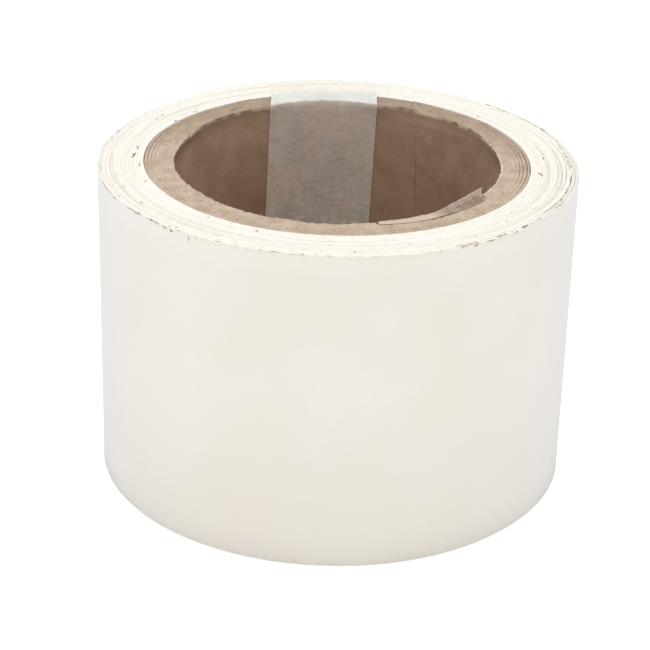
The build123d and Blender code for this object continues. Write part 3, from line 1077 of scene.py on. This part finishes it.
# ---------------------------------------------------------------- lint on the sticky edges
# (azimuth, radius, azimuth, radius, width): fibres and crumbs lying on the end face
ON_FACE = [
    (172.9, 31.9, 176.7, 31.0, 0.16), (178.7, 31.25, 182.7, 31.98, 0.18),
    (179.8, 31.88, 181.7, 31.57, 0.2), (-158.0, 31.55, -159.2, 30.69, 0.2),
    (-173.2, 30.76, -170.1, 30.81, 0.12), (151.1, 30.2, 149.4, 30.2, 0.26),
    (140.8, 30.6, 139.2, 30.65, 0.2), (149.7, 33.44, 147.9, 33.59, 0.14),
    (152.5, 33.42, 151.2, 33.43, 0.1), (165.5, 36.41, 163.7, 36.41, 0.12),
    (155.0, 36.56, 152.3, 36.45, 0.14), (-167.5, 36.53, -167.0, 36.38, 0.2),
    (-165.3, 34.64, -164.8, 34.53, 0.12), (-157.6, 34.7, -156.7, 34.64, 0.14),
    (-157.5, 35.44, -156.3, 35.35, 0.12), (-146.7, 34.64, -146.0, 34.6, 0.14),
    (-135.9, 34.33, -135.3, 34.26, 0.16), (-127.5, 30.77, -126.9, 30.79, 0.14),
    (-121.0, 34.4, -120.1, 34.4, 0.12), (-113.2, 34.51, -112.8, 34.57, 0.14),
    (-121.9, 29.64, -121.2, 29.53, 0.16), (-113.8, 31.33, -113.4, 31.37, 0.14),
    (-111.6, 31.06, -111.2, 31.11, 0.26), (-121.8, 35.44, -119.3, 35.47, 0.06),
    (-120.4, 34.65, -117.4, 34.95, 0.06), (48.7, 31.54, 48.2, 31.55, 0.2),
    (42.7, 31.06, 42.1, 31.06, 0.22), (6.3, 32.44, 4.3, 32.34, 0.16),
    (-6.6, 31.2, -8.2, 31.92, 0.26), (-25.8, 30.8, -26.0, 31.07, 0.16),
    (-37.3, 32.24, -36.5, 32.29, 0.18), (-31.2, 34.13, -29.3, 34.57, 0.12),
    (-15.7, 34.93, -14.0, 35.82, 0.07), (-43.4, 33.87, -42.4, 33.92, 0.14),
    (-55.1, 34.98, -54.7, 35.03, 0.12), (-55.1, 32.61, -54.6, 32.6, 0.1),
    (-47.8, 33.76, -47.4, 33.79, 0.1), (-107.8, 33.73, -107.4, 33.73, 0.14),
    (-99.6, 31.18, -99.3, 31.21, 0.1), (-86.4, 34.96, -85.4, 35.8, 0.1),
    (-102.7, 34.39, -102.2, 34.41, 0.1), (-137.6, 28.04, -137.6, 27.07, 0.2),
    (130.3, 27.16, 127.4, 27.57, 0.3), (-129.2, 34.43, -128.6, 34.5, 0.12),
    (-152.0, 31.68, -151.2, 31.65, 0.12), (-159.8, 28.96, -159.1, 28.9, 0.1),
    (-91.6, 32.98, -91.2, 33.0, 0.1), (-72.2, 34.12, -71.6, 34.06, 0.12),
    (-64.1, 33.84, -63.6, 33.74, 0.1), (-77.2, 31.71, -76.7, 31.68, 0.1),
    (-173.7, 36.57, -168.5, 36.72, 0.1), (-50.8, 36.92, -49.6, 36.86, 0.2),
    (-49.0, 36.72, -48.0, 36.68, 0.14), (-46.4, 36.83, -46.1, 36.84, 0.12),
    (-43.1, 36.79, -41.2, 36.75, 0.12), (-39.7, 36.63, -36.2, 36.51, 0.12),
    (-36.0, 36.43, -32.6, 36.58, 0.14), (-32.0, 36.52, -29.5, 36.56, 0.14),
    (-29.1, 36.62, -24.9, 36.65, 0.22), (-23.7, 36.55, -20.6, 36.56, 0.12),
    (-19.3, 36.49, -14.6, 36.49, 0.08), (35.5, 37.09, 31.0, 37.3, 0.1),
    (31.4, 37.2, 24.3, 37.3, 0.14), (21.1, 36.7, 19.7, 36.62, 0.16),
    (16.3, 36.94, 14.6, 36.88, 0.12), (8.0, 36.37, 5.3, 36.26, 0.18),
    (0.2, 36.24, -1.8, 36.3, 0.14), (-6.8, 35.97, -9.8, 36.28, 0.16),
    (-11.3, 36.52, -13.1, 36.75, 0.1), (44.1, 37.2, 41.8, 37.3, 0.08),
    (-62.4, 36.82, -60.4, 36.9, 0.16),
]
REDDISH_AT = (-6.6, -62.4)  # first azimuths of the two reddish crumbs
# (azimuth, height, azimuth, height, width): on the outer wall just under its edge
ON_WALL = [
    (-161.2, 50.85, -157.8, 50.8, 0.24), (-158.4, 50.76, -154.3, 50.66, 0.20),
    (-152.9, 50.69, -151.6, 50.66, 0.2), (-145.6, 50.82, -143.2, 50.82, 0.18),
    (-142.8, 50.8, -139.6, 50.82, 0.16), (-136.4, 50.85, -135.6, 50.85, 0.3),
    (-134.5, 50.78, -133.2, 50.74, 0.14), (-132.2, 50.72, -130.8, 50.6, 0.2),
    (-129.9, 50.48, -129.1, 50.42, 0.32), (-124.5, 50.51, -124.3, 49.82, 0.12),
    (-122.5, 50.59, -122.1, 50.48, 0.14), (-121.2, 50.72, -120.9, 50.61, 0.12),
    (-116.5, 49.97, -115.6, 49.88, 0.2), (-113.6, 50.25, -112.9, 50.22, 0.22),
    (-97.9, 50.72, -91.4, 50.74, 0.06), (-91.4, 50.7, -86.6, 50.72, 0.09),
    (-86.6, 50.76, -81.0, 50.84, 0.07), (-82.3, 50.81, -80.5, 50.85, 0.12),
    (-58.0, 50.61, -57.1, 50.7, 0.3), (-54.2, 50.85, -52.2, 50.82, 0.14),
    (-45.8, 50.8, -45.2, 50.8, 0.32),
]
# (azimuth, spread) of the clusters of dust along the outer edge
CLUSTERS = [(-140, 17), (-36, 15), (-95, 20), (24, 16), (150, 22)]
# radius of the line the dust gathers on at the right, by azimuth
DUST_AZ = [-52, -46, -36, -27, -18, -5, 17, 30, 44]
DUST_R = [37.2, 37.1, 36.75, 36.5, 36.4, 36.25, 36.2, 36.4, 36.9]


def face_height(az, r):
    """Height of the roll's end face."""
    if r < WRAP_R:
        return TOP - 0.05
    laps = [az % 360 + 360.0 * k for k in range(TURNS + 1)]
    laps = [phi for phi in laps if PHI_START <= phi <= PHI_END]
    nearest = min(laps, key=lambda phi: abs(r - (wrap_radius(phi) + slack(phi)) - 0.27))
    return TOP - float(drop(nearest))


class Crumbs(Tubes):
    """Flattened, lumpy, slightly bent crumbs."""

    def __init__(self, rng):
        super().__init__(sides=7)
        self.rng = rng
        self.tones = []

    def crumb(self, p0, p1, width, normal, tone):
        rng = self.rng
        p0, p1, normal = np.array(p0, float), np.array(p1, float), np.array(normal, float)
        length = np.linalg.norm(p1 - p0)
        if length < width:
            mid = (p0 + p1) / 2
            d = (p1 - p0) / max(length, 1e-6)
            p0, p1 = mid - d * width * 0.6, mid + d * width * 0.6
        d = p1 - p0
        length = np.linalg.norm(d)
        side = np.cross(normal, d / length)
        rings = int(np.clip(length / 0.22, 5, 14))
        sway = rng.normal(0, 0.35) * width
        points = []
        for i in range(rings):
            f = i / (rings - 1)
            bend = sway * math.sin(math.pi * f) + 0.16 * width * rng.normal()
            centre = p0 + d * f + side * bend
            swell = 0.28 + 0.72 * math.sin(math.pi * (0.06 + 0.88 * f)) ** 0.6
            radius = 0.5 * width * swell * rng.uniform(0.55, 1.3)
            for k in range(self.sides):
                a = 2 * math.pi * k / self.sides
                around = math.cos(a) * side + 0.42 * math.sin(a) * normal
                points.append(centre + radius * rng.uniform(0.75, 1.2) * around)
        self.add(points)
        self.tones += [tone] * len(points)

    def on_face(self, az0, r0, az1, r1, width, tone):
        p0 = point(r0, az0, face_height(az0, r0) + 0.1 * width)
        p1 = point(r1, az1, face_height(az1, r1) + 0.1 * width)
        self.crumb(p0, p1, width, (0, 0, 1.0), tone)

    def on_wall(self, az0, z0, az1, z1, width, tone):
        r = ROLL_R + 0.03 + float(slack(360.0 * TURNS + az0))
        outward = point(1, (az0 + az1) / 2, 0)
        self.crumb(point(r, az0, z0), point(r, az1, z1), width, outward, tone)


def edge_dust(crumbs, rng):
    """Fine dust and short dark dashes gathered along the outer edge."""
    for _ in range(150):
        az = rng.choice([rng.normal(centre, spread) for centre, spread in CLUSTERS])
        if 74 < az < 135:
            continue
        end = az + math.degrees(rng.uniform(0.15, 1.1) / 37)
        line = float(np.interp(az, DUST_AZ, DUST_R))
        if -50 < az < 44 and rng.random() < 0.7:
            r = line + rng.uniform(-0.12, 0.10)
            crumbs.on_face(az, r, end, r + rng.normal(0, 0.05),
                           width=rng.uniform(0.05, 0.13), tone=rng.uniform(0, 0.6))
        elif -170 < az < -46 and rng.random() < 0.6:
            z = TOP - float(drop(360.0 * TURNS + az)) - rng.uniform(0.0, 0.10)
            crumbs.on_wall(az, z, end, z - rng.uniform(-0.05, 0.08),
                           width=rng.uniform(0.04, 0.11), tone=rng.uniform(0, 0.8))
        else:
            r = rng.uniform(36.3, 37.15)
            crumbs.on_face(az, r, end, r + rng.normal(0, 0.05),
                           width=rng.uniform(0.04, 0.11), tone=rng.uniform(0, 0.8))


def edge_lint():
    rng = np.random.default_rng(92)
    crumbs = Crumbs(rng)
    for *place, width in ON_FACE:
        tone = 0.95 if place[0] in REDDISH_AT else rng.uniform(0, 0.5)
        crumbs.on_face(*place, width, tone)
    for *place, width in ON_WALL:
        crumbs.on_wall(*place, 0.8 * width, rng.uniform(0, 0.45))
    edge_dust(crumbs, rng)
    # scattered over the winding
    for _ in range(60):
        az, r = rng.uniform(-180, 180), rng.uniform(30.4, 36.3)
        if 74 < az < 118:
            continue
        crumbs.on_face(az, r, az + rng.uniform(0.1, 0.7), r + rng.normal(0, 0.12),
                       width=rng.uniform(0.04, 0.10), tone=rng.uniform(0, 0.9))
    # and over the core
    for _ in range(24):
        az, r = rng.uniform(-170, 60), rng.uniform(27.4, 29.7)
        crumbs.on_face(az, r, az + rng.uniform(0.1, 0.8), r + rng.normal(0, 0.15),
                       width=rng.uniform(0.04, 0.10), tone=rng.uniform(0, 0.4))
    ob = build("edge_lint", crumbs.verts, crumbs.quads, crumbs.tris, mats=[M_LINT],
               attrs={"tone": crumbs.tones})
    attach(ob, "roll")


edge_lint()


# ---------------------------------------------------------------- clear strip
def film(name, path_of, haze_of, seed, ripple):
    """A thin film: path_of(x) gives radius, height and sideways lean along its run."""
    columns = 90
    xs = np.linspace(*STRIP_X, columns)
    rows = []
    for x in xs:
        r, z, lean = path_of(x)
        px = x + lean
        rows.append(np.stack([px, np.sqrt(r * r - px * px), z], 1))
    mid = np.array(rows)
    normal = np.cross(np.gradient(mid, axis=0), np.gradient(mid, axis=1))
    normal /= np.linalg.norm(normal, axis=2, keepdims=True)
    steps = np.linalg.norm(np.diff(mid[columns // 2], axis=0), axis=1)
    length = np.concatenate([[0], np.cumsum(steps)])
    wave = ripple * sheet_noise(seed, xs[:, None], length[None], wavelength=5.0)
    mid = mid + normal * wave[:, :, None]
    faces = [(mid + normal * half).reshape(-1, 3) for half in (FILM_THICK / 2, -FILM_THICK / 2)]
    w = (xs - xs[0]) / (xs[-1] - xs[0])
    # the film's side edges, made more opaque: partly adhesive, partly a painted highlight
    side = np.maximum(smooth01((0.012 - w) / 0.012), smooth01((w - 0.988) / 0.012))
    r_mid = np.hypot(mid[:, :, 0], mid[:, :, 1])
    edge = side[:, None] * smooth01((30.5 - r_mid) / 1.5)
    alpha, cool = haze_of(r_mid, mid[:, :, 2])
    # each of the two faces has the opacity that gives alpha together
    one_face = 1 - np.sqrt(1 - np.clip(alpha, 0, 0.98))
    values = {"edge": edge, "haze": one_face, "cool": cool}
    ob = build(
        name, np.concatenate(faces), sheet_faces(columns, mid.shape[1]), mats=[M_FILM], sharp=60,
        attrs={key: np.tile(value.ravel(), 2) for key, value in values.items()},
    )
    return ob


def path_main(x):
    """Up the bore wall, over the worn rim and the end face, and just over the outer edge."""
    u = (x - (STRIP_X[0] + STRIP_X[1]) / 2) / ((STRIP_X[1] - STRIP_X[0]) / 2)
    bend = 25.55 + 1.25 * (1 - abs(u) ** 2.2)
    bend = bend + 0.10 * math.sin(2.1 * x + 1.0) + 0.06 * math.sin(4.3 * x)
    # straight up the bore
    wall_r, wall_top = 25.27, TOP - 2.4
    wall = np.linspace(STRIP_BOTTOM_IN, wall_top, 44)
    # a curve over the rim: (radius, height) of its three control points
    controls = [(wall_r, wall_top), (25.34 + 0.30 * (bend - 25.3), TOP + 0.13),
                (bend + 0.40, TOP + 0.17)]
    t = np.linspace(0, 1, 18)[1:]
    over_r, over_z = [
        (1 - t) ** 2 * a + 2 * t * (1 - t) * b + t * t * c for a, b, c in zip(*controls)
    ]
    # across the end face
    fold = 0.35  # radius of the fold over the outer edge
    fold_r, fold_top = FILM_R - fold, TOP + 0.10
    f = np.linspace(0, 1, 34)[1:-1]
    flat_r = bend + 0.40 + (fold_r - bend - 0.40) * f
    flat_z = TOP + 0.17 - 0.06 * smooth01(f * 2) - 0.05 * ridge(flat_r, 30.1, 0.5)
    flat_z = flat_z + 0.03 * np.sin(flat_r * 2.2 + x)
    flat_z = np.where(f > 0.9, flat_z + (fold_top - flat_z) * (f - 0.9) / 0.1, flat_z)
    # over the outer edge
    c = np.radians(np.linspace(0, 90, 9))
    r = np.concatenate(
        [0 * wall + wall_r, over_r, flat_r, fold_r + fold * np.sin(c), [FILM_R]]
    )
    z = np.concatenate([wall, over_z, flat_z, fold_top - fold + fold * np.cos(c), [TOP - 1.0]])
    lean = -0.030 * np.clip(TOP - z, 0, None) * (r < 30)
    return r, z, lean


def haze_main(r, z):
    rim = smooth01((z - (TOP - 0.22)) / 0.34)
    # a little less cloudy just under the edge, cloudier further down
    deep = 0.64 + 0.26 * np.clip((TOP - z) / 22.0, 0, 1) - 0.24 * smooth01((z - (TOP - 3.6)) / 2.2)
    alpha = deep + (0.93 - deep) * rim * (r < 34)
    on_tape = smooth01((r - 29.3) / 3.4)
    alpha = np.where(z > TOP - 1.2, alpha + (0.08 - alpha) * on_tape, alpha)
    alpha = np.where((z <= TOP - 0.3) & (r > 34), 0.16, alpha)
    return alpha, np.clip(rim + (r > 34), 0, 1)


def path_outer(x):
    """Straight down the outer wall."""
    z = np.linspace(TOP - 1.0, STRIP_BOTTOM_OUT, 60)
    return 0 * z + FILM_R, z, 0 * z


def haze_outer(r, z):
    return 0.16 + 0 * z, 1.0 + 0 * z


strip = film("clear_strip_film", path_main, haze_main, seed=111, ripple=0.010)
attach(strip, "roll")
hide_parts("clear_strip")

tab = film("clear_strip_outer_leg", path_outer, haze_outer, seed=112, ripple=0.006)
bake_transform(tab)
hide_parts("clear_strip_pull_tab")


# ---------------------------------------------------------------- floor, light and camera
def floor_material():
    m = Material("floor_pale")
    cloud = m.noise(m.coords(scale=(1, 1, 1)), scale=8.0, detail=2)
    m.set({
        "Base Color": m.mix((0.90, 0.90, 0.90), (0.92, 0.92, 0.92), cloud),
        "Roughness": 0.9,
        "Specular IOR Level": 0.1,
        "Emission Color": (1.0, 1.0, 1.0, 1.0),
        "Emission Strength": 0.42,
    })
    # the floor gives back less light than the camera sees
    dim = m.node("ShaderNodeBsdfDiffuse")
    dim.inputs["Color"].default_value = (0.77, 0.77, 0.77, 1.0)
    ray = m.node("ShaderNodeLightPath")
    pick = m.node("ShaderNodeMixShader")
    m.put(pick.inputs[0], ray.outputs["Is Camera Ray"])
    m.put(pick.inputs[1], dim.outputs[0])
    m.put(pick.inputs[2], m.bsdf.outputs[0])
    m.put(m.out.inputs[0], pick.outputs[0])
    return m.material


def add_floor():
    half = 3.0  # metres
    me = bpy.data.meshes.new("floor")
    corners = [(-half, -half, 0), (half, -half, 0), (half, half, 0), (-half, half, 0)]
    me.from_pydata(corners, [], [(0, 1, 2, 3)])
    ob = bpy.data.objects.new("floor", me)
    bpy.context.scene.collection.objects.link(ob)
    ob.location.z = -0.0001
    me.materials.append(floor_material())


def add_world():
    """White surroundings, a little brighter to the camera than as light."""
    world = bpy.data.worlds.new("studio")
    bpy.context.scene.world = world
    world.use_nodes = True
    nodes, links = world.node_tree.nodes, world.node_tree.links
    nodes.clear()
    out = nodes.new("ShaderNodeOutputWorld")
    pick = nodes.new("ShaderNodeMixShader")
    ray = nodes.new("ShaderNodeLightPath")
    links.new(ray.outputs["Is Camera Ray"], pick.inputs[0])
    for socket, strength in ((1, 1.06), (2, 1.1)):
        background = nodes.new("ShaderNodeBackground")
        background.inputs["Color"].default_value = (1, 1, 1, 1)
        background.inputs["Strength"].default_value = strength
        links.new(background.outputs[0], pick.inputs[socket])
    links.new(pick.outputs[0], out.inputs[0])


def add_softbox():
    """A wide disk light above, a little to the front left; metres and watts."""
    place, target = Vector((-0.10, -0.08, 0.70)), Vector((0, 0, 0.03))
    data = bpy.data.lights.new("softbox_top", "AREA")
    data.shape = "DISK"
    data.size = 0.8
    data.energy = 0.85
    ob = bpy.data.objects.new("softbox_top", data)
    ob.location = place
    ob.rotation_mode = "QUATERNION"
    ob.rotation_quaternion = (target - place).to_track_quat("-Z", "Y")
    bpy.context.scene.collection.objects.link(ob)


def add_camera():
    """A long lens at the front, looking down at the end face."""
    data = bpy.data.cameras.new("camera")
    data.sensor_width = 36.0
    data.lens = 118.3790769
    data.clip_start, data.clip_end = 0.01, 20.0
    ob = bpy.data.objects.new("camera", data)
    bpy.context.scene.collection.objects.link(ob)
    pitch, roll = 0.45077414, 0.0270  # radians
    # offsets from the middle of the end face, in units of 37.2 mm
    unit = 37.2
    back, aside, upward = 8.942, -0.0333, -0.6968
    forward = Vector((0, math.cos(pitch), -math.sin(pitch)))
    level_up = Vector((0, math.sin(pitch), math.cos(pitch)))
    level_right = Vector((1, 0, 0))
    right = level_right * math.cos(roll) + level_up * math.sin(roll)
    up = -level_right * math.sin(roll) + level_up * math.cos(roll)
    place = (-forward * back + level_right * aside + level_up * upward) * unit
    place = place + Vector((0, 0, TOP))
    turn = Matrix((right, up, -forward)).transposed().to_4x4()
    ob.matrix_world = Matrix.Translation(place * MM) @ turn
    bpy.context.scene.camera = ob


add_floor()
add_world()
add_softbox()
add_camera()
bpy.context.scene.view_settings.view_transform = "Standard"
